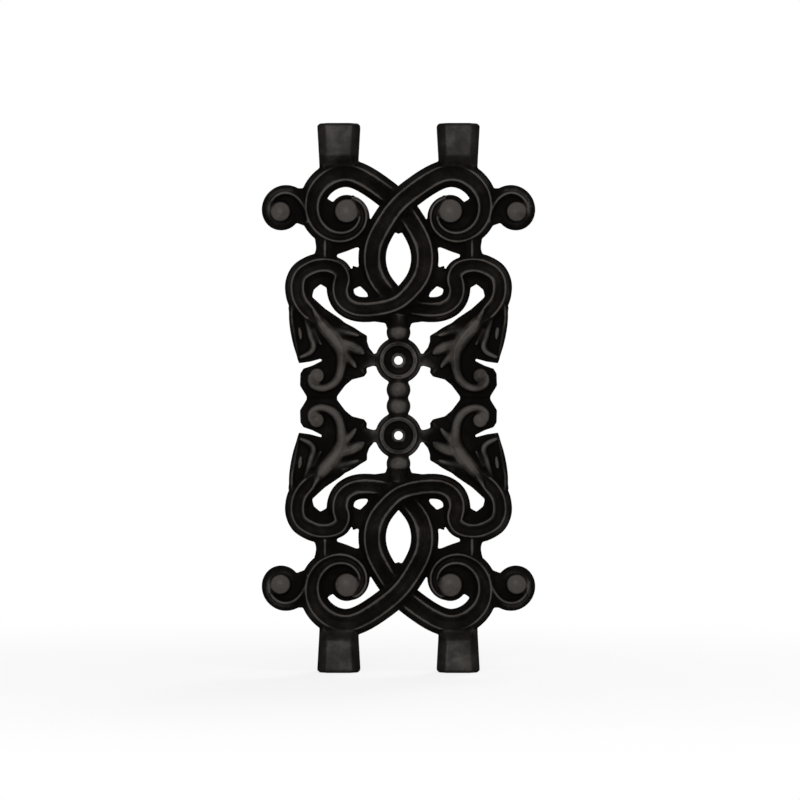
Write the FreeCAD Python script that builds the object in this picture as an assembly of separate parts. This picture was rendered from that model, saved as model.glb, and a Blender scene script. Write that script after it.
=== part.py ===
"""Cast iron railing panel for a pair of upright bars, one casting modelled in millimetres.

Seen from the front (from -Y) two flat ribbons start in volutes under the upper sockets, cross, bow
out round a lens-shaped opening, cross again the other way over, and sweep out into a side scroll
that ends in an acanthus leaf. The lower half is the upper half turned end for end about Y. The
back is the front turned about Z, so the ribbon that lies on top in front lies below behind.
Two dished rosettes on a beaded spindle tie the leaves together at mid height.
Origin: midway between the two lower sockets, in the plane of their end faces. X runs across the
panel, Y through its thickness, Z up.
"""

import FreeCAD
import Part

import math
import os

from FreeCAD import Vector

# Overall
PANEL_HEIGHT = 400.0
BAR_SPACING = 87.0

# Sockets for the two upright bars
SOCKET_WIDTH = 29.0
SOCKET_DEPTH = 26.0
SOCKET_FLARE = 1.2
SOCKET_FOOT = 12.5
SOCKET_SLOPE = 8.0
SOCKET_TAIL = 8.5
SOCKET_CORNER = 6.0
SOCKET_MOUTH = 1.8
BAR_SIZE = 16.0
BAR_CLEARANCE = 0.5
BAR_INSERTION = 28.0

# Ribbon section
CREST_HEIGHT = 7.0
CHANNEL_DEPTH = 2.2
FLANK_WIDTH = 5.0
PARTING_LAND = 1.5
RIBBON_WIDTH = 10.2
RIBBON_TAPER = 20.0
SCROLL_WIDTH = 8.4
HOOK_WIDTH = 9.8
VOLUTE_TIP_WIDTH = 4.6
WEAVE_RISE = 2.6
WEAVE_REACH = 38.0
STATION_PITCH = 6.0

# Thin metal, leaf and spindle
WEB_HALF = 3.0
NECK_RIDGE = 6.4
LEAF_EDGE = 2.6
FROND_PITCH = 4.0
SCROLL_WEB = 2.3
LEAF_EYE_RADIUS = 5.7
LEAF_RIDGE = 6.3
CURL_FLANK = 7.0
CURL_HEIGHT = 6.5
CURL_END = 3.8
CURL_EYE_RADIUS = 7.3
STEM_RADIUS = 7.2
BEAD_RADIUS = 8.8
ROSETTE_RADIUS = 17.0
ROSETTE_HOLE = 6.4
TIE_HALF = 4.0

# Places in the upper half, measured from the middle of the panel
ROSETTE_Z = 27.4
LEAF_EYE_X = 59.6
LEAF_EYE_Z = 15.0
BEAD_LOW = 6.0
BEAD_HIGH = 48.0
CURL_X = 86.0
CURL_Z = 136.4
VOLUTE_X = 37.8
VOLUTE_Z = 136.3
VOLUTE_RADIUS = 27.7
VOLUTE_EYE_RADIUS = 8.7
VOLUTE_WINDING = 390.0
UPPER_CROSSING = 141.2
LOWER_CROSSING = 69.8
LENS_HALF_WIDTH = 19.2
LENS_MIDDLE = 100.0
SWEEP_BOTTOM = 64.5
HOOK_X = 42.2
HOOK_Z = 82.0
SCROLL_TOP_X = 55.6
SCROLL_TOP_Z = 96.8
SCROLL_SIDE_X = 73.6
SCROLL_SIDE_Z = 81.8
LEAF_ROOT_X = 58.2
LEAF_ROOT_Z = 54.9


def flat(x, z, y=0.0):
    """A point of the panel: x across, z up from the middle, y through the thickness."""
    return Vector(x, y, z)


def curve(points):
    """A smooth curve through the points."""
    line = Part.BSplineCurve()
    line.interpolate(points)
    return line


def blend(share):
    """0 to 1 with level ends."""
    share = min(1.0, max(0.0, share))
    return share * share * (3.0 - 2.0 * share)


def stations(line, pitch):
    """(point, direction, left bend radius, right bend radius, distance) along a curve."""
    length = line.length()
    count = max(6, int(round(length / pitch)) + 1)
    found = []
    for point in line.discretize(Number=count):
        at = line.parameter(point)
        along = line.tangent(at)[0]
        left = Vector(-along.z, 0.0, along.x)
        bend = line.curvature(at)
        left_room = right_room = length
        if bend > 1e-6:
            if line.normal(at).dot(left) > 0.0:
                left_room = 1.0 / bend
            else:
                right_room = 1.0 / bend
        gone = 0.0 if at <= line.FirstParameter else line.length(line.FirstParameter, at)
        found.append((point, along, left_room, right_room, gone))
    return found


def ribbon_corners(point, along, width, left_base, right_base, rise):
    """Corners of the ribbon cut across: sloping flanks, two crests and a hollow on either face."""
    left = Vector(-along.z, 0.0, along.x)
    half = width / 2.0
    front = [
        (right_base, PARTING_LAND),
        (half, CREST_HEIGHT),
        (0.0, CREST_HEIGHT - CHANNEL_DEPTH),
        (-half, CREST_HEIGHT),
        (-left_base, PARTING_LAND),
    ]
    return placed_corners(point, left, front, rise)


def placed_corners(point, left, front, rise=0.0):
    """Corners of a section that is the same on front and back, set at a point of its path.
    The front is given as (distance to the right, distance from the middle plane)."""
    corners = [(across, -deep) for across, deep in front]
    corners += [(across, deep) for across, deep in reversed(front)]
    return [point - left * across + Vector(0.0, deep + rise, 0.0) for across, deep in corners]


def skin(rows, distances):
    """A solid through rows of corners: one curve along each corner, flat strips between them."""
    rails = []
    for number in range(len(rows[0])):
        rail = Part.BSplineCurve()
        rail.interpolate(Points=[row[number] for row in rows], Parameters=distances)
        rails.append(rail.toShape())
    faces = []
    for number, rail in enumerate(rails):
        faces.append(Part.makeRuledSurface(rail, rails[(number + 1) % len(rails)]))
    for row in (rows[0], rows[-1]):
        faces.append(Part.Face(Part.makePolygon(row + row[:1])))
    shell = Part.makeShell(faces)
    shell.sewShape()
    solid = Part.Solid(Part.Shell(shell.Faces))
    if solid.Volume < 0.0:
        solid.reverse()
    return solid


def volute_route():
    """Points of the upper left volute, from inside its eye out to its top."""
    points = []
    for turn in (330.0, 295.0, 260.0, 225.0, 190.0, 155.0, 120.0, 85.0, 55.0, 25.0, 0.0):
        share = (1.0 + math.cos(math.pi * turn / VOLUTE_WINDING)) / 2.0
        inner = 0.75 * VOLUTE_EYE_RADIUS
        radius = inner + (VOLUTE_RADIUS - inner) * share
        angle = math.radians(90.0 + turn)
        points.append(flat(-VOLUTE_X + radius * math.cos(angle), VOLUTE_Z + radius * math.sin(angle)))
    return points


def ribbon_route():
    """The whole centre line of the ribbon that starts in the upper left volute."""
    shoulder = flat(-VOLUTE_X + 15.6, VOLUTE_Z + 22.0)
    return volute_route() + [
        shoulder,
        flat(-10.4, UPPER_CROSSING + 9.0),
        flat(0.0, UPPER_CROSSING),
        flat(11.6, 125.2),
        flat(LENS_HALF_WIDTH - 1.7, LENS_MIDDLE + 13.0),
        flat(LENS_HALF_WIDTH, LENS_MIDDLE),
        flat(14.9, 85.4),
        flat(9.5, 78.2),
        flat(0.0, LOWER_CROSSING),
        flat(-11.3, 65.8),
        flat(-21.8, SWEEP_BOTTOM),
        flat(-32.2, 65.5),
        flat(-39.8, 70.7),
        flat(-42.2, 76.4),
        flat(-HOOK_X, HOOK_Z),
        flat(-41.2, 88.4),
        flat(-43.4, 93.0),
        flat(-48.2, 95.8),
        flat(-SCROLL_TOP_X, SCROLL_TOP_Z),
        flat(-65.2, 94.0),
        flat(-71.3, 89.2),
        flat(-SCROLL_SIDE_X, SCROLL_SIDE_Z),
        flat(-71.6, 71.0),
        flat(-65.1, 62.2),
        flat(-LEAF_ROOT_X, LEAF_ROOT_Z),
        flat(-53.4, 50.0),
    ]


def weave(distance, crossings):
    """How far the ribbon moves back, or forward if negative, to pass its partner."""
    rise = 0.0
    for side, where in zip((1.0, -1.0), crossings):
        rise += side * WEAVE_RISE * blend(1.0 - abs(distance - where) / WEAVE_REACH)
    return rise


def ribbon():
    """The ribbon from the upper left volute to the upper left leaf."""
    points = ribbon_route()
    line = curve(points)
    crossings = []
    for height in (UPPER_CROSSING, LOWER_CROSSING):
        crossings.append(line.length(line.FirstParameter, line.parameter(flat(0.0, height))))
    hook = line.length(line.FirstParameter, line.parameter(flat(-HOOK_X, HOOK_Z)))
    total = line.length()
    rows = []
    distances = []
    for point, along, left_room, right_room, gone in stations(line, STATION_PITCH):
        width = VOLUTE_TIP_WIDTH + (RIBBON_WIDTH - VOLUTE_TIP_WIDTH) * blend(gone / 110.0)
        width += (SCROLL_WIDTH - RIBBON_WIDTH) * blend((gone - crossings[1] + 35.0) / 40.0)
        width += (HOOK_WIDTH - SCROLL_WIDTH) * blend(1.0 - abs(gone - hook) / 22.0)
        width *= 1.0 - 0.75 * blend((gone - line.length() + RIBBON_TAPER) / RIBBON_TAPER)
        reach = width / 2.0 + FLANK_WIDTH * (0.45 + 0.55 * blend(gone / 70.0))
        narrow = 1.0 - 0.35 * blend(1.0 - abs(gone - hook - 15.0) / 14.0)
        left_base = min(reach, max(width / 2.0 + 1.2, 0.9 * left_room))
        outside = width / 2.0 + (reach - width / 2.0) * narrow
        right_base = min(outside, max(width / 2.0 + 1.2, 0.9 * right_room))
        rise = weave(gone, crossings)
        rows.append(ribbon_corners(point, along, width, left_base, right_base, rise))
        distances.append(gone)
    return skin(rows, distances)


def value_along(values, share):
    """The value at a share of the way along evenly spaced values."""
    place = share * (len(values) - 1.0)
    low = min(int(place), len(values) - 2)
    return values[low] + (values[low + 1] - values[low]) * (place - low)


def frond(crest, left_widths, right_widths, height):
    """A leaf lobe: a ridge along the crest line, falling to thin edges at the widths given."""
    line = curve([flat(x, z) for x, z in crest])
    total = line.length()
    rows = []
    distances = []
    for point, along, left_room, right_room, gone in stations(line, FROND_PITCH):
        left = Vector(-along.z, 0.0, along.x)
        left_width = min(value_along(left_widths, gone / total), 0.85 * left_room)
        right_width = min(value_along(right_widths, gone / total), 0.85 * right_room)
        front = [(right_width, LEAF_EDGE), (0.0, height), (-left_width, LEAF_EDGE)]
        rows.append(placed_corners(point, left, front))
        distances.append(gone)
    return skin(rows, distances)


def plate(outline, half_thickness):
    """A flat web with the outline given as (x, z) corners."""
    corners = [flat(x, z, -half_thickness) for x, z in outline]
    face = Part.Face(Part.makePolygon(corners + corners[:1]))
    return face.extrude(Vector(0.0, 2.0 * half_thickness, 0.0))


def turned(profile, x, z):
    """A body turned about an axis along Y through (x, z), the same on front and back.
    The profile is (radius, distance from the middle plane) from the centre outwards."""
    front = [Vector(radius, -deep, 0.0) for radius, deep in profile]
    back = [Vector(radius, deep, 0.0) for radius, deep in reversed(profile)]
    face = Part.Face(Part.makePolygon(front + back + front[:1]))
    body = face.revolve(Vector(0.0, 0.0, 0.0), Vector(0.0, 1.0, 0.0), 360.0)
    body.translate(flat(x, z))
    return body


def dome(x, z, radius, height):
    """A round boss with a spherical face in front and behind, standing on the webs."""
    rise = height - WEB_HALF
    ball = (radius * radius + rise * rise) / (2.0 * rise)
    slant = math.asin(radius / ball) / 2.0
    middle = ball * math.sin(slant)
    level = height - ball + ball * math.cos(slant)
    front = Part.Arc(Vector(0.0, -height, 0.0), Vector(middle, -level, 0.0), Vector(radius, -WEB_HALF, 0.0))
    back = Part.Arc(Vector(radius, WEB_HALF, 0.0), Vector(middle, level, 0.0), Vector(0.0, height, 0.0))
    rim = Part.makeLine(Vector(radius, -WEB_HALF, 0.0), Vector(radius, WEB_HALF, 0.0))
    axis = Part.makeLine(Vector(0.0, height, 0.0), Vector(0.0, -height, 0.0))
    face = Part.Face(Part.Wire([front.toShape(), rim, back.toShape(), axis]))
    body = face.revolve(Vector(0.0, 0.0, 0.0), Vector(0.0, 1.0, 0.0), 360.0)
    body.translate(flat(x, z))
    return body


def side_curl():
    """The small curl outside the volute, with its own eye."""
    crest = [
        (-66.0, 128.5), (-66.8, 134.0), (-69.4, 140.4), (-74.4, 146.4), (-82.0, 149.4),
        (-89.4, 147.0), (-93.6, 141.4), (-94.2, 134.9), (-91.0, 129.2), (-85.0, 127.2), (-79.8, 129.0),
        (-76.4, 133.4),
    ]
    line = curve([flat(x, z) for x, z in crest])
    rows = []
    distances = []
    count = 18
    for number, point in enumerate(line.discretize(Number=count)):
        along = line.tangent(line.parameter(point))[0]
        left = Vector(-along.z, 0.0, along.x)
        share = number / (count - 1.0)
        outer = CURL_FLANK * (1.0 - 0.35 * share)
        crest_height = CURL_HEIGHT - (CURL_HEIGHT - CURL_END) * blend((share - 0.5) / 0.3)
        front = [(outer, PARTING_LAND), (0.0, crest_height), (-2.6, WEB_HALF)]
        rows.append(placed_corners(point, left, front))
        distances.append(float(number))
    return [
        skin(rows, distances),
        dome(-CURL_X, CURL_Z, CURL_EYE_RADIUS, CREST_HEIGHT),
        turned([(0.0, 2.8), (CURL_EYE_RADIUS + 2.0, 2.8)], -CURL_X, CURL_Z),
        plate([(-84.0, 146.0), (-74.0, 153.0), (-66.0, 153.0), (-64.0, 124.0), (-74.0, 127.6)], WEB_HALF),
    ]


def volute_webs():
    """The domed eye of the volute and the thin metal that fills its recess."""
    return [
        dome(-VOLUTE_X, VOLUTE_Z, VOLUTE_EYE_RADIUS, CREST_HEIGHT + 0.5),
        turned([(0.0, WEB_HALF), (VOLUTE_EYE_RADIUS + 3.2, WEB_HALF)], -VOLUTE_X, VOLUTE_Z),
        plate(
            [(-52.7, 146.0), (-48.3, 143.2), (-37.8, 136.3), (-34.0, 122.0), (-46.0, 119.0), (-58.5, 132.0)],
            WEB_HALF,
        ),
    ]


def lens_webs():
    """Thin metal in the top corner of the lens and under the sweep beside the spindle."""
    return [
        plate([(-8.0, 126.5), (-1.6, 120.4), (0.0, 119.8), (1.6, 120.4), (8.0, 126.5), (0.0, 136.0)], WEB_HALF),
        plate(
            [
                (-19.0, 60.0), (-17.0, 55.6), (-9.5, 54.6), (-8.4, 51.0),
                (8.4, 51.0), (9.5, 54.6), (17.0, 55.6), (19.0, 60.0),
            ],
            WEB_HALF,
        ),
    ]


def band_webs():
    """Thin metal between the left ribbons: over the small opening, by the lens and in the scroll."""
    return [
        plate(
            [
                (-50.0, 116.0), (-49.0, 105.0), (-44.0, 105.0), (-38.0, 107.0),
                (-31.0, 109.8), (-25.0, 110.2), (-23.0, 118.0),
            ],
            WEB_HALF,
        ),
        plate(
            [
                (-33.5, 96.6), (-30.0, 95.4), (-24.0, 95.8), (-21.5, 88.0), (-15.0, 75.0),
                (-20.5, 70.5), (-23.3, 77.0), (-28.0, 81.6), (-34.0, 79.0),
            ],
            WEB_HALF,
        ),
        plate(
            [
                (-68.0, 88.0), (-54.0, 90.0), (-47.5, 88.0), (-49.5, 81.0), (-52.6, 80.5),
                (-57.0, 83.0), (-61.8, 79.0), (-63.0, 74.0), (-68.0, 75.0),
            ],
            SCROLL_WEB,
        ),
    ]


def neck():
    """The short neck between volute and side scroll, with a ridge along its middle."""
    ridge = [(-53.4, 116.0), (-53.4, 109.0), (-53.6, 102.0)]
    return [frond(ridge, (8.8, 8.2, 8.8), (7.6, 6.6, 8.6), NECK_RIDGE)]


def leaf():
    """The acanthus leaf: a thin blade, a midrib that rolls up into a curl, and its lobes."""
    blade = [
        (-76.0, 78.0), (-80.4, 66.0), (-78.2, 49.1), (-76.0, 38.2), (-73.8, 28.7), (-72.6, 25.3),
        (-64.3, 26.5), (-56.3, 28.7), (-55.6, 27.3), (-62.9, 23.6), (-69.4, 21.4), (-71.6, 17.8),
        (-71.9, 9.0), (-67.2, 1.4), (-66.8, -0.6), (-45.0, -0.6), (-44.7, 1.4), (-38.9, 9.1), (-33.8, 13.4),
        (-25.1, 15.6), (-22.9, 18.5), (-23.6, 22.9), (-21.4, 25.8), (-18.5, 26.5), (-18.5, 33.1),
        (-21.4, 36.7), (-22.9, 41.1), (-22.9, 45.4), (-26.5, 47.6), (-33.8, 50.5), (-42.5, 57.8),
        (-53.4, 65.1), (-62.2, 73.1),
    ]
    midrib = [
        (-57.5, 54.0), (-49.8, 46.0), (-43.0, 34.5), (-41.8, 24.0), (-43.6, 15.0), (-48.6, 8.8),
        (-55.5, 6.6), (-62.0, 8.0), (-65.6, 12.4),
    ]
    outer = (4.5, 7.0, 7.2, 6.8, 6.0, 5.0, 4.4, 3.6, 2.4)
    inner = (4.5, 6.8, 5.4, 4.6, 4.2, 3.4, 2.4, 2.0, 1.8)
    lobes = (
        ([(-52.0, 54.0), (-41.0, 50.8), (-33.0, 48.0), (-25.0, 45.4)], (4.6, 4.8, 3.6, 1.0), 5.8),
        ([(-46.0, 42.0), (-35.0, 39.5), (-27.5, 36.0), (-20.4, 31.8)], (5.0, 5.4, 4.2, 1.6), 5.7),
        ([(-41.5, 30.5), (-35.0, 27.6), (-29.0, 22.8), (-25.2, 17.6)], (4.6, 5.0, 4.0, 1.3), 5.6),
        ([(-41.5, 20.0), (-38.0, 15.8), (-35.4, 13.6)], (3.4, 3.0, 1.2), 5.3),
        (
            [
                (-68.0, 59.0), (-65.4, 51.5), (-63.8, 44.0), (-61.8, 38.0),
                (-64.2, 33.2), (-69.4, 30.4), (-73.0, 28.8),
            ],
            (3.8, 3.6, 3.2, 3.0, 2.8, 2.4, 1.2),
            5.9,
        ),
        ([(-60.5, 51.0), (-58.4, 44.0), (-55.6, 36.8), (-53.4, 29.0)], (3.4, 3.2, 2.4, 1.0), 5.0),
        (
            [(-76.4, 70.0), (-77.6, 60.0), (-76.6, 48.0), (-74.4, 37.0), (-72.6, 29.5)],
            (2.6, 2.4, 2.2, 2.0, 1.2),
            4.6,
        ),
    )
    pieces = [plate(blade, LEAF_EDGE), frond(midrib, outer, inner, LEAF_RIDGE)]
    pieces += [frond(crest, widths, widths, height) for crest, widths, height in lobes]
    return pieces + [dome(-LEAF_EYE_X, LEAF_EYE_Z, LEAF_EYE_RADIUS, CREST_HEIGHT - 0.2)]


def socket():
    """The square socket over the upper left bar, drawn in to the ribbon's thickness below."""
    top = PANEL_HEIGHT / 2.0
    foot = VOLUTE_Z + VOLUTE_RADIUS + SOCKET_FOOT
    flared_width = SOCKET_WIDTH + 2.0 * SOCKET_FLARE
    flared_depth = SOCKET_DEPTH + 2.0 * SOCKET_FLARE
    sections = []
    levels = (
        (top, flared_width - 2.0 * SOCKET_MOUTH, flared_depth - 2.0 * SOCKET_MOUTH),
        (top - SOCKET_MOUTH, flared_width, flared_depth),
        (foot, SOCKET_WIDTH, SOCKET_DEPTH),
        (foot - SOCKET_SLOPE, SOCKET_WIDTH - 0.6, 2.0 * CREST_HEIGHT - 2.0),
        (foot - SOCKET_SLOPE - SOCKET_TAIL, SOCKET_WIDTH - 3.0, 2.0 * CREST_HEIGHT - 6.0),
    )
    for level, width, depth in levels:
        corner = min(SOCKET_CORNER, 0.3 * depth)
        half_x = width / 2.0
        half_y = depth / 2.0
        outline = [
            (half_x, half_y - corner), (half_x - corner, half_y), (corner - half_x, half_y),
            (-half_x, half_y - corner), (-half_x, corner - half_y), (corner - half_x, -half_y),
            (half_x - corner, -half_y), (half_x, corner - half_y),
        ]
        corners = [Vector(x - BAR_SPACING / 2.0, y, level) for x, y in outline]
        sections.append(Part.makePolygon(corners + corners[:1]))
    return Part.makeLoft(sections, True, True)


def socket_bore():
    """The blind square hole the bar goes into."""
    size = BAR_SIZE + BAR_CLEARANCE
    bore = Part.makeBox(size, size, BAR_INSERTION + 10.0)
    bore.translate(Vector(-BAR_SPACING / 2.0 - size / 2.0, -size / 2.0, PANEL_HEIGHT / 2.0 - BAR_INSERTION))
    return bore


def spindle():
    """The upper half of the beaded spindle with its dished rosette and the ties to the leaves."""
    pieces = [
        Part.makeCylinder(STEM_RADIUS, ROSETTE_Z - 12.6),
        Part.makeCylinder(STEM_RADIUS, 61.0 - ROSETTE_Z - 12.6, flat(0.0, ROSETTE_Z + 12.6)),
    ]
    for level in (BEAD_LOW, BEAD_HIGH):
        bead = Part.makeSphere(BEAD_RADIUS)
        bead.translate(flat(0.0, level))
        pieces.append(bead)
    pieces.append(turned(
        [
            (0.0, 4.2), (5.6, 4.2), (10.0, 5.0), (11.2, 7.6), (12.8, 7.6),
            (ROSETTE_RADIUS, 4.0),
        ],
        0.0, ROSETTE_Z,
    ))
    pieces.append(plate(
        [
            (-28.0, ROSETTE_Z - 7.0), (-28.0, ROSETTE_Z + 9.0), (-18.5, ROSETTE_Z + 4.8),
            (0.0, ROSETTE_Z + 6.0), (18.5, ROSETTE_Z + 4.8), (28.0, ROSETTE_Z + 9.0),
            (28.0, ROSETTE_Z - 7.0), (18.5, ROSETTE_Z - 4.0), (0.0, ROSETTE_Z - 6.0),
            (-18.5, ROSETTE_Z - 4.0),
        ],
        TIE_HALF,
    ))
    return pieces


def mirrored(shape):
    """The same body on the other side of the panel."""
    return shape.mirror(Vector(0.0, 0.0, 0.0), Vector(1.0, 0.0, 0.0))


def half_turn(shape, axis):
    """A copy turned end for end about an axis through the middle of the panel."""
    copy = shape.copy()
    copy.rotate(Vector(0.0, 0.0, 0.0), axis, 180.0)
    return copy


def fused(shapes):
    """One solid out of bodies that overlap."""
    return shapes[0].multiFuse(shapes[1:])


def upper_half():
    """Everything above the middle: two ribbons, the spindle and both sides' ornament."""
    first = ribbon()
    half = first.fuse(half_turn(first, Vector(0.0, 0.0, 1.0)))
    for middle in (fused(spindle()), *lens_webs()):
        half = half.fuse(middle)
    sides = [fused(leaf()), fused(side_curl()), fused(volute_webs()), fused(neck()), socket()]
    for side in sides + band_webs():
        half = half.fuse(side)
        half = half.fuse(mirrored(side))
    return half


def panel_casting():
    """The whole casting with its socket bores and rosette holes, standing on z = 0."""
    upper = upper_half()
    casting = upper.fuse(half_turn(upper, Vector(0.0, 1.0, 0.0)))
    hole = Part.makeCylinder(ROSETTE_HOLE / 2.0, 40.0, flat(0.0, ROSETTE_Z, -20.0), Vector(0.0, 1.0, 0.0))
    openings = []
    for opening in (socket_bore(), mirrored(socket_bore()), hole):
        openings.append(opening)
        openings.append(half_turn(opening, Vector(0.0, 1.0, 0.0)))
    casting = casting.cut(fused(openings))
    casting.translate(Vector(0.0, 0.0, PANEL_HEIGHT / 2.0))
    return casting.Solids[0]


os.makedirs("parts", exist_ok=True)
panel_casting().exportStep("parts/panel_casting.step")
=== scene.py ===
# %% [markdown]
# # A cast iron railing panel
# This lesson dresses one casting: two pairs of channelled ribbons that weave over and under each
# other, volutes, acanthus leaves, a beaded spindle with dished rosettes, and square sockets for
# the railing's bars. The real panel comes out of a sand mould in one piece, so the work here is
# to soften the exact solid as sand and molten iron do, carve the finer ornament, and give it a
# black painted skin.

# %% Open the frame
import bmesh
import bpy
import math
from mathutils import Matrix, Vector


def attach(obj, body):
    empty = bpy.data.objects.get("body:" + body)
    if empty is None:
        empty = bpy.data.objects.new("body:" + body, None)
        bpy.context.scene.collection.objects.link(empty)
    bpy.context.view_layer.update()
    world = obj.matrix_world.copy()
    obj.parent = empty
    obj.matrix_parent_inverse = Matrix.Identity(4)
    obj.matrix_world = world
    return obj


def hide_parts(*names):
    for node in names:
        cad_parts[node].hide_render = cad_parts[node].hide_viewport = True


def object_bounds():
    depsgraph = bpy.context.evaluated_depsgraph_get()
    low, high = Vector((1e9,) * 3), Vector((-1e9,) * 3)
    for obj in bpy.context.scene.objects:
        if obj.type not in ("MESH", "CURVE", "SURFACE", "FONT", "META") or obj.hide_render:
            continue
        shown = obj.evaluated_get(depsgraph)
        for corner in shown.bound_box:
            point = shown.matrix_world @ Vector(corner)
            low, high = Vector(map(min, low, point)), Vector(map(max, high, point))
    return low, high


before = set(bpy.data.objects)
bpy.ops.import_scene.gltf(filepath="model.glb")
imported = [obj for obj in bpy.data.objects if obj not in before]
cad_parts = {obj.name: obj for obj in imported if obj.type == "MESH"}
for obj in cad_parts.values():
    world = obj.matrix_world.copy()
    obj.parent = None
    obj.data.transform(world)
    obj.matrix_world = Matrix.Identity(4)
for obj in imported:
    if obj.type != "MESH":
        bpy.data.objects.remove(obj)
solid_low, solid_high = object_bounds()
casting_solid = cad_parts["panel_casting"]
print("the solid measures", [round(b - a, 4) for a, b in zip(solid_low, solid_high)], "metres")

# %% [markdown]
# Every operator acts on what is selected, and opening the frame leaves the solid selected. So each
# step starts from nothing selected and one active object.

# %% A clean selection
def only(thing):
    """Selects one object, makes it active and lets go of the rest."""
    bpy.ops.object.select_all(action="DESELECT")
    thing.select_set(True)
    bpy.context.view_layer.objects.active = thing
    return thing


def apply_modifier(thing, kind, **settings):
    """Adds a modifier with its settings and applies it."""
    only(thing)
    bpy.ops.object.modifier_add(type=kind)
    modifier = thing.modifiers[-1]
    for name, value in settings.items():
        setattr(modifier, name, value)
    bpy.ops.object.modifier_apply(modifier=modifier.name)


def copy_of(thing, name):
    """A copy with its own mesh, left selected and active."""
    only(thing)
    bpy.ops.object.duplicate()
    copy = bpy.context.active_object
    copy.name = name
    copy.parent = None
    return copy


# %% [markdown]
# The casting's skin starts as a copy of the exact solid. The copy is loose triangles, so its doubled
# corners are merged first. The solid itself stays as it is and is only hidden.

# %% Copy the solid
DOUBLED = 0.00002

casting = copy_of(casting_solid, "casting_skin")
bpy.ops.object.mode_set(mode="EDIT")
bpy.ops.mesh.select_all(action="SELECT")
bpy.ops.mesh.remove_doubles(threshold=DOUBLED)
bpy.ops.object.mode_set(mode="OBJECT")
print("the copy has", len(casting.data.polygons), "faces")

# %% [markdown]
# Much of what follows asks where on the panel a point lies. The ornament repeats left and right of the
# spindle and above and below mid height, so a place is told by its distance from both, and one
# number pair stands for four eyes or four leaves.

# %% Where things are
MIDDLE = 0.2
VOLUTE_EYE = (0.0378, 0.1363)
CURL_EYE = (0.0861, 0.1358)
LEAF_EYE = (0.0596, 0.0162)
NECK = (0.0535, 0.1090)
SPINDLE_HALF = 0.019
LEAF_REACH = 0.056
LEAF_BORDER = 0.007


def from_eye(place, eye):
    """Distance of a point from the nearest of the four eyes of one kind, seen from the front."""
    return math.hypot(abs(place.x) - eye[0], abs(place.z - MIDDLE) - eye[1])


def in_leaf(place):
    """1 within the leaves below the ribbons' ends, 0 outside them, with a soft border."""
    if abs(place.x) < SPINDLE_HALF:
        return 0.0
    return min(1.0, max(0.0, (LEAF_REACH - abs(place.z - MIDDLE)) / LEAF_BORDER))


print("mid height at", MIDDLE, "and leaves within", LEAF_REACH, "of it")

# %% [markdown]
# On the real panel the two crests of every ribbon are rounded like wires, because the pattern maker
# planted a thin strip along each one. They could be drawn again as curves, but then they would have to
# find their own way over and under the weave. Here they are grown from the copy itself: the sharp
# outer edges at crest height are picked and copied off, so they follow every bend and crossing.

# %% Which edges are crests
CREST_ANGLE = math.radians(24.0)
LOWEST_CREST = 0.0042
HIGHEST_CREST = 0.0105
SOCKET_BAND = 0.030
KEEP_CLEAR = ((VOLUTE_EYE, 0.0105), (CURL_EYE, 0.0098), (NECK, 0.006))
LEAF_SIDE = 0.045
RIBBON_END = 0.0585


def bears_a_strip(place):
    """True where a ribbon, curl or rosette has a rounded crest, and not a carved form."""
    if not LOWEST_CREST < abs(place.y) < HIGHEST_CREST:
        return False
    if not SOCKET_BAND < place.z < 2.0 * MIDDLE - SOCKET_BAND:
        return False
    if any(from_eye(place, centre) < radius for centre, radius in KEEP_CLEAR):
        return False
    if abs(place.x) > LEAF_SIDE and abs(place.z - MIDDLE) < RIBBON_END:
        return False
    return in_leaf(place) <= 0.5


def is_crest(edge):
    """True for a sharp edge that stands out where the casting bears a strip."""
    if len(edge.link_faces) != 2:
        return False
    middle = (edge.verts[0].co + edge.verts[1].co) / 2.0
    if not bears_a_strip(middle):
        return False
    first, second = edge.link_faces
    if first.normal.angle(second.normal, 0.0) < CREST_ANGLE:
        return False
    across = second.calc_center_median() - first.calc_center_median()
    outward = first.normal.dot(across) < 0.0
    return outward and first.normal.y * middle.y > 0.0 and second.normal.y * middle.y > 0.0


# %% Copy the crests off
strips = copy_of(casting, "crest_strips")
bpy.ops.object.mode_set(mode="EDIT")
bpy.ops.mesh.select_mode(type="EDGE")
bpy.ops.mesh.select_all(action="DESELECT")
work = bmesh.from_edit_mesh(strips.data)
picked = 0
for edge in work.edges:
    edge.select_set(is_crest(edge))
    picked += edge.select
bmesh.update_edit_mesh(strips.data)
bpy.ops.mesh.duplicate()
bpy.ops.mesh.select_all(action="INVERT")
bpy.ops.mesh.delete(type="EDGE")
bpy.ops.object.mode_set(mode="OBJECT")
print("crest edges:", picked, "left:", len(strips.data.edges), len(strips.data.polygons))

# %% [markdown]
# A bare edge has no thickness. Made a curve it can be given a round section, and sunk by two thirds of
# its radius it leaves only a low wire above the crest, as a planted strip does.

# %% Round the strips
CREST_RADIUS = 0.0015
CREST_SINK = 0.0010

only(strips)
bpy.ops.object.convert(target="CURVE")
strips.data.dimensions = "3D"
strips.data.bevel_depth = CREST_RADIUS
strips.data.bevel_resolution = 1
strips.data.use_fill_caps = True
bpy.ops.object.convert(target="MESH")
for corner in strips.data.vertices:
    corner.co.y -= math.copysign(CREST_SINK, corner.co.y)
print("strips:", len(strips.data.polygons), "faces")

# %% [markdown]
# The leaf is what a carver would spend the day on. Its body swells out of the ribbon's end, throws
# three lobes towards the spindle and rolls its tip round an eye, and a thin hooked fold stands in
# the ear beside it. The solid has these forms as plain ridges. They are pressed down to a low ground
# first, so that softer ones can be carved on top.

# %% Clear the leaf's ground
LEAF_GROUND = 0.0032
LEFT_STANDING = 0.25

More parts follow.
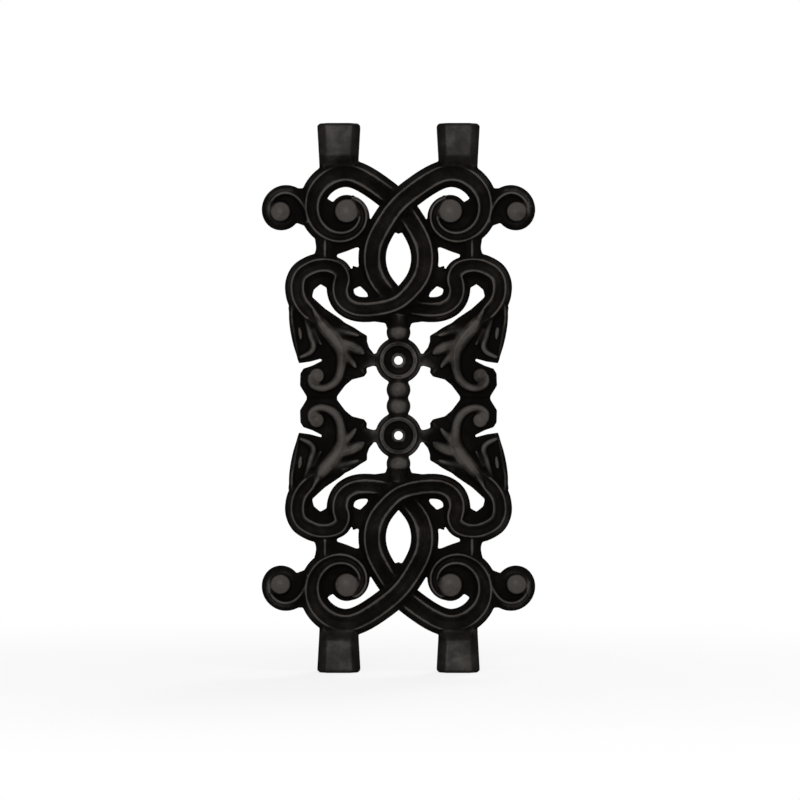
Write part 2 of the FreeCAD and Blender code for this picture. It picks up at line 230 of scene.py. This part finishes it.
for corner in casting.data.vertices:
    share = in_leaf(corner.co)
    over = abs(corner.co.y) - LEAF_GROUND
    if share > 0.0 and over > 0.0:
        corner.co.y -= math.copysign(over * (1.0 - LEFT_STANDING) * share, corner.co.y)
print("leaf ground at", LEAF_GROUND * 1000.0, "mm from the middle")

# %% [markdown]
# Sculpting by hand can't be repeated from a script, and a flat outline pushed forward would look cut
# out. So each form is one stroke of a round tool: a vertex pushed from point to point, made a
# smooth curve, and thickened differently along its length. Where it is thick, about half of it or more
# lies in the casting.

# %% Push a vertex along
SEED_SIZE = 0.001


def chain(name, points):
    """A row of joined vertices on the middle plane, through places in millimetres."""
    bpy.ops.object.select_all(action="DESELECT")
    x, z, _ = points[0]
    bpy.ops.mesh.primitive_plane_add(size=SEED_SIZE, location=(x / 1000.0, 0.0, MIDDLE + z / 1000.0))
    made = bpy.context.active_object
    made.name = name
    bpy.ops.object.mode_set(mode="EDIT")
    bpy.ops.mesh.select_mode(type="VERT")
    bpy.ops.mesh.select_all(action="SELECT")
    bpy.ops.mesh.merge(type="CENTER")
    for before, after in zip(points, points[1:]):
        step = ((after[0] - before[0]) / 1000.0, 0.0, (after[1] - before[1]) / 1000.0)
        bpy.ops.mesh.extrude_vertices_move(TRANSFORM_OT_translate={"value": step})
    bpy.ops.object.mode_set(mode="OBJECT")
    bpy.ops.object.transform_apply(location=True, rotation=True, scale=True)
    return made


# %% Smooth the row
def smooth_line(made, points):
    """Makes a row of vertices a smooth curve, and returns its points in the order they were given."""
    bpy.ops.object.convert(target="CURVE")
    made.data.dimensions = "3D"
    bpy.ops.object.mode_set(mode="EDIT")
    bpy.ops.curve.select_all(action="SELECT")
    bpy.ops.curve.spline_type_set(type="NURBS")
    bpy.ops.object.mode_set(mode="OBJECT")
    line = made.data.splines[0]
    line.order_u = 3
    line.use_endpoint_u = True
    start = Vector((points[0][0] / 1000.0, 0.0, MIDDLE + points[0][1] / 1000.0))
    ends = [(end.co.to_3d() - start).length for end in (line.points[0], line.points[-1])]
    return list(line.points) if ends[0] < ends[1] else list(reversed(line.points))


# %% One stroke
MILLIMETRE = 0.001


def stroke(name, points, depth):
    """A round tapering stroke through (x, z, radius) in millimetres, its crest at a depth in front."""
    made = chain(name, points)
    for point, (_, _, radius) in zip(smooth_line(made, points), points):
        point.radius = radius
        point.co.y = -(depth - radius) / 1000.0
    made.data.bevel_depth = MILLIMETRE
    made.data.bevel_resolution = 4
    made.data.use_fill_caps = True
    made.data.resolution_u = 8
    bpy.ops.object.convert(target="MESH")
    return made


# %% [markdown]
# These are the strokes of the upper left leaf as they lie in front of the panel, with places counted
# from the panel's centre. A stroke's ends thin out to a blunt tip, as a gouge leaves it. The neck above
# the leaf has one low ridge of the same kind.

# %% The leaf's strokes
LEAF_STROKES = (
    ("body", 7.6, [
        (-62.4, 65.0, 0.6), (-60.5, 61.0, 3.2), (-57.4, 55.8, 6.2), (-51.8, 49.4, 7.4), (-45.6, 42.4, 7.6),
        (-41.0, 34.6, 6.8), (-41.0, 27.0, 4.8), (-42.1, 19.4, 4.0), (-44.8, 12.6, 4.0), (-50.7, 8.0, 3.6),
        (-57.6, 6.6, 3.2), (-63.0, 9.0, 2.8), (-65.0, 12.8, 2.3), (-64.6, 17.0, 1.2),
    ]),
    ("first_lobe", 5.6, [
        (-51.0, 51.6, 4.2), (-43.0, 49.0, 3.8), (-35.4, 47.0, 3.0), (-30.0, 45.8, 1.8), (-28.4, 45.4, 0.4),
    ]),
    ("second_lobe", 7.2, [
        (-44.0, 40.5, 4.6), (-36.4, 38.6, 5.4), (-30.4, 35.6, 5.0), (-27.2, 33.6, 3.8), (-25.6, 32.6, 1.8),
        (-25.2, 32.3, 0.4),
    ]),
    ("third_lobe", 6.8, [
        (-40.5, 33.5, 3.6), (-36.0, 28.6, 3.4), (-32.6, 24.6, 2.6), (-31.2, 22.6, 1.4), (-30.7, 21.9, 0.4),
    ]),
    ("ear_hook", 6.2, [
        (-69.0, 60.5, 1.8), (-65.6, 51.5, 2.6), (-63.9, 44.0, 2.8), (-61.6, 38.6, 2.9), (-63.2, 34.0, 2.8),
        (-68.0, 31.2, 2.4), (-72.2, 29.4, 1.2),
    ]),
    ("ear_fold", 5.2, [(-62.4, 51.0, 1.2), (-59.2, 44.2, 2.6), (-56.4, 38.4, 1.2)]),
    ("ear_rim", 3.9, [
        (-76.2, 70.0, 0.8), (-77.4, 60.0, 1.5), (-76.0, 48.0, 1.5), (-74.0, 36.0, 1.3), (-72.6, 28.8, 0.8),
    ]),
    ("ear_drop", 6.0, [(-72.4, 51.6, 0.8), (-71.6, 47.6, 2.8), (-71.2, 42.4, 0.8)]),
    ("neck_ridge", 7.0, [(-53.4, 115.0, 1.4), (-53.4, 109.0, 2.8), (-53.6, 103.0, 1.4)]),
)
carved = [stroke("leaf_" + name, points, depth) for name, depth, points in LEAF_STROKES]
print("strokes:", len(carved))

# %% [markdown]
# The four leaves and their backs are the same leaf, mirrored across the panel, through its thickness
# and end for end. The mirror works about the object's origin, so that is set at the panel's centre
# first. Mirrored pieces turn inside out, so their normals are put right afterwards.

# %% Eight leaves
for piece in carved:
    piece.select_set(True)
bpy.context.view_layer.objects.active = carved[0]
bpy.ops.object.join()
leaf = bpy.context.active_object
leaf.name = "leaf_strokes"
bpy.context.scene.cursor.location = (0.0, 0.0, MIDDLE)
only(leaf)
bpy.ops.object.origin_set(type="ORIGIN_CURSOR")
apply_modifier(leaf, "MIRROR", use_axis=(True, True, True), use_mirror_merge=False)
only(leaf)
bpy.ops.object.mode_set(mode="EDIT")
bpy.ops.mesh.select_all(action="SELECT")
bpy.ops.mesh.normals_make_consistent(inside=False)
bpy.ops.object.mode_set(mode="OBJECT")
bpy.ops.object.transform_apply(location=True, rotation=True, scale=True)
print("eight leaves:", len(leaf.data.polygons), "faces")

# %% [markdown]
# Volutes, side curls and leaf tips all wind up round a bold button with a broad, softly domed face, and
# the ribbon's thin end runs into its flank. Each button is a short drum through the panel. Its two
# faces are inset ring by ring, each ring drawn out a little more, and its rims are bevelled round.

# %% One drum
ROUND_STEPS = 64
RIM_STEPS = 6
RIM_ANGLE = math.radians(50.0)
RINGS = ((0.22, 0.0006), (0.20, 0.0005), (0.20, 0.0004), (0.20, 0.0002))


def drum(x, z, radius, height, rounding):
    """A drum through the panel with domed faces and rounded rims, at a place seen from the front."""
    bpy.ops.object.select_all(action="DESELECT")
    bpy.ops.mesh.primitive_cylinder_add(
        vertices=ROUND_STEPS, radius=radius, depth=2.0 * height,
        location=(x, 0.0, z), rotation=(math.pi / 2.0, 0.0, 0.0),
    )
    made = bpy.context.active_object
    bpy.ops.object.transform_apply(location=True, rotation=True, scale=True)
    bpy.ops.object.mode_set(mode="EDIT")
    bpy.ops.mesh.select_mode(type="FACE")
    bpy.ops.mesh.select_all(action="DESELECT")
    work = bmesh.from_edit_mesh(made.data)
    for face in work.faces:
        face.select_set(abs(face.normal.y) > 0.9)
    bmesh.update_edit_mesh(made.data)
    for ring, lift in RINGS:
        bpy.ops.mesh.inset(thickness=radius * ring)
        bpy.ops.transform.resize(value=(1.0, 1.0 + lift / height, 1.0), center_override=(x, 0.0, z))
    bpy.ops.object.mode_set(mode="OBJECT")
    apply_modifier(
        made, "BEVEL", width=rounding, segments=RIM_STEPS, limit_method="ANGLE", angle_limit=RIM_ANGLE,
    )
    return made


# %% Twelve eyes
EYE_DRUMS = (
    (VOLUTE_EYE, 0.0092, 0.0066, 0.0026),
    (CURL_EYE, 0.0078, 0.0062, 0.0024),
    (LEAF_EYE, 0.0058, 0.0064, 0.0022),
)

eyes = []
for across in (-1.0, 1.0):
    for upward in (-1.0, 1.0):
        for eye, radius, height, rounding in EYE_DRUMS:
            eyes.append(drum(across * eye[0], MIDDLE + upward * eye[1], radius, height, rounding))
print("eyes:", len(eyes))

# %% [markdown]
# Casting, strips, leaves and eyes are joined and remeshed: every voxel inside any of them becomes iron,
# so they become one even skin. Smoothing then rounds each edge and fills each corner a little, which
# is what sand does to a sharp pattern. A boolean union would keep every edge sharp.

# %% Pour it in one
GRAIN_SIZE = 0.0006
ROUNDING_PASSES = 3

only(casting)
for piece in (strips, leaf, *eyes):
    piece.select_set(True)
bpy.ops.object.join()
apply_modifier(casting, "REMESH", mode="VOXEL", voxel_size=GRAIN_SIZE, use_smooth_shade=True)
print("remeshed:", len(casting.data.polygons))
apply_modifier(casting, "SMOOTH", factor=0.5, iterations=ROUNDING_PASSES)

# %% [markdown]
# So fine a mesh has far more faces than its shapes need, and they are thinned where it is flattest. No
# point may end up outside the solid's own size by a rounding error, so all are held within it.

# %% Thin it out
TRIANGLE_BUDGET = 360000

kept_share = min(1.0, TRIANGLE_BUDGET / (2.0 * len(casting.data.polygons)))
apply_modifier(casting, "DECIMATE", ratio=kept_share)
for corner in casting.data.vertices:
    for axis in range(3):
        corner.co[axis] = min(max(corner.co[axis], solid_low[axis]), solid_high[axis])
print("thinned:", len(casting.data.polygons))

# %% [markdown]
# Handling and weather rub the paint where it stands out and faces the hand, and leave it black in what lies
# deep. On top of that wear, a painted highlight lightens what stands out and faces the front, and painted
# shade darkens what lies deep or turns away. To know which is which, a copy of the skin is smoothed until
# its ridges and hollows are gone, and each point of the real skin notes how far it stands above that copy.

# %% How far each point stands out
SOFTENING = round(45 * (0.001 / GRAIN_SIZE) ** 2)

soft = copy_of(casting, "soft_copy")
apply_modifier(soft, "SMOOTH", factor=0.8, iterations=SOFTENING)
standing = []
for corner, smooth in zip(casting.data.vertices, soft.data.vertices):
    standing.append((corner.co - smooth.co).dot(corner.normal) * 1000.0)
bpy.data.objects.remove(soft)
print("stands out by at most", round(max(standing), 2), "mm")

# %% [markdown]
# Ridges are lightest, and the eyes, the leaf and the sockets' faces are light all over: partly rubbed
# because they are broad and meet the hand, partly painted highlight where they face the front, and on the
# eyes that painted highlight fades towards the rim. Each has its share, and the depths in front of the
# middle plane between which that share comes in. Flanks are painted black as shade, and the outer walls get
# a little painted light.

# %% Shares of wear and painted light
RIDGE_MILLIMETRES = (0.0, 1.3)
RIDGE_DEPTHS = (0.0030, 0.0044)
CHANNEL_SHARE = 0.24
CHANNEL_DEPTHS = (0.0036, 0.0054)
EYE_FACES = ((VOLUTE_EYE, 0.0086), (CURL_EYE, 0.0073))
EYE_HIGHLIGHT_FADE = 0.35
EYE_DEPTHS = (0.0048, 0.0066)
LEAF_SHARE = 0.9
LEAF_DEPTHS = (0.0040, 0.0066)
SOCKET_FOOT = 0.1690
SOCKET_SHARE = 0.55
SOCKET_DEPTHS = (0.0060, 0.0080)
COLLAR_SHARE = 0.72
COLLAR_DEPTHS = (0.0100, 0.0120)
FLANK_SHADE = (0.35, 0.95)
WALL_PAINTED_LIGHT = 0.55
WALL_FACING = (0.05, 0.30)


def ease(low, high, value):
    """0 below low, 1 above high and a soft rise between them."""
    share = min(1.0, max(0.0, (value - low) / (high - low)))
    return share * share * (3.0 - 2.0 * share)


# %% Wear with painted highlight and painted shade
def wear_and_painted_light(place, normal, height):
    """How light the paint is at a point of the skin, as wear and painted highlight, with painted shade on
    the flanks; 0 for black.
    """
    depth = abs(place.y)
    # ridges and channel floors: partly wear, partly painted highlight
    share = max(ease(*RIDGE_MILLIMETRES, height) * ease(*RIDGE_DEPTHS, depth),
                CHANNEL_SHARE * ease(*CHANNEL_DEPTHS, depth))
    for eye, radius in EYE_FACES:
        out = from_eye(place, eye)
        if out < radius:
            # painted highlight: on the eye domes the share is highest at the centre and fades towards the
            # rim
            share = max(share, (1.0 - EYE_HIGHLIGHT_FADE * (out / radius) ** 2) * ease(*EYE_DEPTHS, depth))
    share = max(share, LEAF_SHARE * in_leaf(place) * ease(*LEAF_DEPTHS, depth))
    if abs(place.z - MIDDLE) > SOCKET_FOOT:
        share += (SOCKET_SHARE - share) * ease(*SOCKET_DEPTHS, depth)
    share += (COLLAR_SHARE - share) * ease(*COLLAR_DEPTHS, depth)
    # painted shade: flanks that turn away from the front are darkened; painted light: outer walls are
    # lightened a little
    facing = abs(normal.y)
    return share * ease(*FLANK_SHADE, facing) + WALL_PAINTED_LIGHT * (1.0 - ease(*WALL_FACING, facing))


# this attribute holds wear together with painted highlights on what faces the front and painted shade on
# flanks and in hollows
wear_with_painted_light = [wear_and_painted_light(corner.co, corner.normal, height) for corner, height in zip(casting.data.vertices, standing)]
casting.data.attributes.new("wear_with_painted_light", "FLOAT", "POINT").data.foreach_set("value", wear_with_painted_light)
ordered = sorted(wear_with_painted_light)
print("worn shares:", [round(ordered[int(len(ordered) * q)], 3) for q in (0.1, 0.25, 0.5, 0.75, 0.9, 0.98)])

# %% [markdown]
# One mesh this fine is too heavy for one piece, so the skin is parted at mid height, in the groove
# between the two beads, where nothing shows. Each half is the whole skin cut by a plane and closed.

# %% Part at mid height
def part_at_middle(source, name, keep_above):
    """A copy of the skin above or below the panel's mid height."""
    only(source)
    bpy.ops.object.duplicate()
    half = bpy.context.active_object
    half.name = name
    bpy.ops.object.mode_set(mode="EDIT")
    bpy.ops.mesh.select_all(action="SELECT")
    bpy.ops.mesh.bisect(
        plane_co=(0.0, 0.0, MIDDLE), plane_no=(0.0, 0.0, 1.0), use_fill=True,
        clear_inner=keep_above, clear_outer=not keep_above,
    )
    bpy.ops.object.mode_set(mode="OBJECT")
    bpy.ops.object.shade_smooth()
    return half


upper = part_at_middle(casting, "upper_casting", True)
lower = part_at_middle(casting, "lower_casting", False)
bpy.data.objects.remove(casting)
for half in (upper, lower):
    print(half.name, len(half.data.polygons), "faces")

# %% [markdown]
# The finish is black paint on iron: almost black, warm where it is thin, with a dull shine. A picture of it
# would stretch over the curves. Noise that fills space, read at each point's own place, has no seams, and
# the wear and painted light noted on the mesh lead it.

# %% Nodes by hand
def node(tree, kind, place, **inputs):
    """A shader node with its inputs set."""
    made = tree.nodes.new(kind)
    made.location = place
    for name, value in inputs.items():
        made.inputs[name].default_value = value
    return made


def reckon(tree, operation, place, *terms):
    """The value of a math node whose terms are numbers or other nodes' values."""
    made = tree.nodes.new("ShaderNodeMath")
    made.operation = operation
    made.location = place
    for socket, term in zip(made.inputs, terms):
        if isinstance(term, float):
            socket.default_value = term
        else:
            tree.links.new(term, socket)
    return made.outputs["Value"]


def ramp(tree, place, stops):
    """A colour ramp with (position, colour) stops."""
    made = tree.nodes.new("ShaderNodeValToRGB")
    made.location = place
    while len(made.color_ramp.elements) < len(stops):
        made.color_ramp.elements.new(0.5)
    for element, (position, colour) in zip(made.color_ramp.elements, stops):
        element.position = position
        element.color = (*colour, 1.0)
    return made


# %% Where the paint is rubbed or given painted light
PATCH_STRENGTH = 1.2
PATCH_BALANCE = -0.60

black_iron = bpy.data.materials.new("black_iron")
black_iron.use_nodes = True
tree = black_iron.node_tree
paint = tree.nodes["Principled BSDF"]
where = node(tree, "ShaderNodeTexCoord", (-1400, 0))
patches = node(tree, "ShaderNodeTexNoise", (-1200, 200), Scale=55.0, Detail=5.0, Roughness=0.6)
tree.links.new(where.outputs["Object"], patches.inputs["Vector"])
wear_and_light_noted = node(tree, "ShaderNodeAttribute", (-1400, 500))
wear_and_light_noted.attribute_type = "GEOMETRY"
wear_and_light_noted.attribute_name = "wear_with_painted_light"
unevenness = reckon(
    tree, "MULTIPLY_ADD", (-1000, 350), patches.outputs["Fac"], PATCH_STRENGTH, PATCH_BALANCE,
)
# the rubbing carries wear, painted highlight and painted shade, plus random patches
rubbing_and_painted_light = reckon(tree, "ADD", (-800, 450), wear_and_light_noted.outputs["Fac"], unevenness)
print("rubbing joins the wear noted and patches of noise")

# %% [markdown]
# One value, the rubbing with its painted light, drives both the tone and the shine: where the paint is thin
# or faces the front it is lighter, as wear and painted highlight, and polished, and in the hollows and on
# the flanks it is painted black as shade and dull with dust.

# %% Tone with painted highlight and painted shade, and shine
# the dark end is painted shade in hollows and on flanks, the light end wear and painted highlight
IRON_TONES_AND_PAINTED_LIGHT = [
    (0.00, (0.0010, 0.0007, 0.0005)),
    (0.25, (0.0030, 0.0022, 0.0016)),
    (0.50, (0.0085, 0.0071, 0.0060)),
    (0.75, (0.0195, 0.0171, 0.0154)),
    (1.00, (0.0480, 0.0425, 0.0390)),
]
DUSTY = 0.80
POLISHED = 0.34
POLISHED_FROM = 0.8
LOW_GLOSS = 0.035

tones_and_painted_light = ramp(tree, (-400, 450), IRON_TONES_AND_PAINTED_LIGHT)
tree.links.new(rubbing_and_painted_light, tones_and_painted_light.inputs["Fac"])
tree.links.new(tones_and_painted_light.outputs["Color"], paint.inputs["Base Color"])
shine = tree.nodes.new("ShaderNodeMapRange")
shine.location = (-400, 0)
shine.inputs["From Max"].default_value = POLISHED_FROM
shine.inputs["To Min"].default_value = DUSTY
shine.inputs["To Max"].default_value = POLISHED
tree.links.new(rubbing_and_painted_light, shine.inputs["Value"])
tree.links.new(shine.outputs["Result"], paint.inputs["Roughness"])
paint.inputs["Metallic"].default_value = 0.0
paint.inputs["IOR"].default_value = 1.5
paint.inputs["Specular IOR Level"].default_value = LOW_GLOSS
print("tones:", len(IRON_TONES_AND_PAINTED_LIGHT))

# %% [markdown]
# The sand leaves a fine grain. It is finer than any mesh could hold, so it is bump alone.

# %% Cast grain
grain = node(tree, "ShaderNodeTexNoise", (-1200, -200), Scale=800.0, Detail=3.0, Roughness=0.7)
tree.links.new(where.outputs["Object"], grain.inputs["Vector"])
bump = node(tree, "ShaderNodeBump", (-400, -300), Strength=0.35, Distance=0.0002)
tree.links.new(grain.outputs["Fac"], bump.inputs["Height"])
tree.links.new(bump.outputs["Normal"], paint.inputs["Normal"])
print("grain scale:", grain.inputs["Scale"].default_value)

# %% Black iron on both halves
for half in (upper, lower):
    half.data.materials.clear()
    half.data.materials.append(black_iron)
    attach(half, "root")
    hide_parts("panel_casting")
print("black iron on both halves")

# %% [markdown]
# The panel stands on a white floor under a white sky, as in a catalogue. To make them white by light
# would bleach the iron. So both show their white only to rays that come from the eye, straight or by
# way of a mirror or glass, and give the iron no more light than a plain studio does.

# %% Seen by the eye
def seen_by_eye(tree):
    """1 for a ray from the camera, off a mirror or through glass, 0 for one that carries light."""
    rays = tree.nodes.new("ShaderNodeLightPath").outputs
    straight = reckon(tree, "MAXIMUM", (-900, 300), rays["Is Camera Ray"], rays["Is Glossy Ray"])
    return reckon(tree, "MAXIMUM", (-700, 300), straight, rays["Is Transmission Ray"])


# %% [markdown]
# The floor keeps the panel's faint shadow close to its feet. Further out its own shading fades into the
# white, so that no horizon shows.

# %% Floor
FLOOR_SIZE = 8.0
FLOOR_GREY = 0.8
FADE_FROM = 0.15
FADE_TO = 0.80
WHITE_AT_FEET = 0.80

bpy.ops.mesh.primitive_plane_add(size=FLOOR_SIZE, location=(0.0, 0.0, 0.0))
floor = bpy.context.active_object
floor.name = "floor"
white_floor = bpy.data.materials.new("white_floor")
white_floor.use_nodes = True
tree = white_floor.node_tree
matt = tree.nodes["Principled BSDF"]
matt.inputs["Base Color"].default_value = (FLOOR_GREY, FLOOR_GREY, FLOOR_GREY, 1.0)
matt.inputs["Roughness"].default_value = 0.9
floor_place = node(tree, "ShaderNodeTexCoord", (-1100, 0))
from_panel = node(tree, "ShaderNodeVectorMath", (-900, 0))
from_panel.operation = "LENGTH"
tree.links.new(floor_place.outputs["Object"], from_panel.inputs[0])
fading = node(tree, "ShaderNodeMapRange", (-700, 0))
fading.interpolation_type = "SMOOTHSTEP"
fading.inputs["From Min"].default_value = FADE_FROM
fading.inputs["From Max"].default_value = FADE_TO
fading.inputs["To Min"].default_value = WHITE_AT_FEET
fading.inputs["To Max"].default_value = 1.00
tree.links.new(from_panel.outputs["Value"], fading.inputs["Value"])
glow = node(tree, "ShaderNodeEmission", (-300, -200), Color=(1.0, 1.0, 1.0, 1.0), Strength=1.0)
both = node(tree, "ShaderNodeMixShader", (-100, 0))
glow_share = reckon(tree, "MULTIPLY", (-500, 100), seen_by_eye(tree), fading.outputs["Result"])
tree.links.new(glow_share, both.inputs["Fac"])
tree.links.new(matt.outputs["BSDF"], both.inputs[1])
tree.links.new(glow.outputs["Emission"], both.inputs[2])
tree.links.new(both.outputs["Shader"], tree.nodes["Material Output"].inputs["Surface"])
floor.data.materials.append(white_floor)
print("floor:", FLOOR_SIZE, "metres wide")

# %% [markdown]
# The sky is the studio's soft light from all sides, kept low so that the hollows stay black.

# %% Sky
SOFT_LIGHT = 0.32
WHITE = (1.0, 1.0, 1.0, 1.0)

sky = bpy.context.scene.world
if sky is None:
    sky = bpy.data.worlds.new("studio")
    bpy.context.scene.world = sky
sky.use_nodes = True
tree = sky.node_tree
tree.nodes.clear()
sky_out = node(tree, "ShaderNodeOutputWorld", (200, 0))
seen_sky = node(tree, "ShaderNodeBackground", (-300, -100), Color=WHITE, Strength=1.0)
soft_sky = node(tree, "ShaderNodeBackground", (-300, 100), Color=WHITE, Strength=SOFT_LIGHT)
sky_mix = node(tree, "ShaderNodeMixShader", (0, 0))
tree.links.new(seen_by_eye(tree), sky_mix.inputs["Fac"])
tree.links.new(soft_sky.outputs["Background"], sky_mix.inputs[1])
tree.links.new(seen_sky.outputs["Background"], sky_mix.inputs[2])
tree.links.new(sky_mix.outputs["Shader"], sky_out.inputs["Surface"])
print("soft light:", SOFT_LIGHT)

# %% [markdown]
# The key lamp hangs just above the line of sight, so ridges light up towards the eye and flanks fall
# dark on both sides. A second lamp does the same for the back, and a weak one marks what looks up.

# %% Lamps
def lamp(name, place, size, power):
    """A square soft lamp pointed at the panel's centre."""
    bpy.ops.object.light_add(type="AREA", location=place)
    made = bpy.context.active_object
    made.name = name
    made.data.size = size
    made.data.energy = power
    line_of_light = Vector((0.0, 0.0, MIDDLE)) - Vector(place)
    made.rotation_euler = line_of_light.to_track_quat("-Z", "Y").to_euler()
    return made


lamp("key", (-0.22, -2.9, 0.60), 0.5, 52.0)
lamp("back", (0.9, 2.4, 1.3), 0.8, 40.0)
lamp("top", (0.3, -1.0, 1.9), 0.8, 8.0)
print("lamps: key, back and top")

# %% [markdown]
# The camera looks square on from far away with a long lens, as for a catalogue, so that the panel shows
# no perspective. It stands 548 of the picture's 800 pixels high.

# %% Camera
PANEL_PIXELS = 548.0
PICTURE_PIXELS = 800.0
DISTANCE = 3.0
SENSOR_WIDTH = 36.0
EYE_X = 0.0011
EYE_HEIGHT = 0.1985

bpy.ops.object.camera_add(location=(EYE_X, -DISTANCE, EYE_HEIGHT), rotation=(math.pi / 2.0, 0.0, 0.0))
camera = bpy.context.active_object
camera.data.sensor_width = SENSOR_WIDTH
camera.data.lens = SENSOR_WIDTH * DISTANCE / (2.0 * MIDDLE / PANEL_PIXELS * PICTURE_PIXELS)
bpy.context.scene.camera = camera
bpy.context.scene.view_settings.view_transform = "Standard"
print("lens:", round(camera.data.lens, 1), "mm")
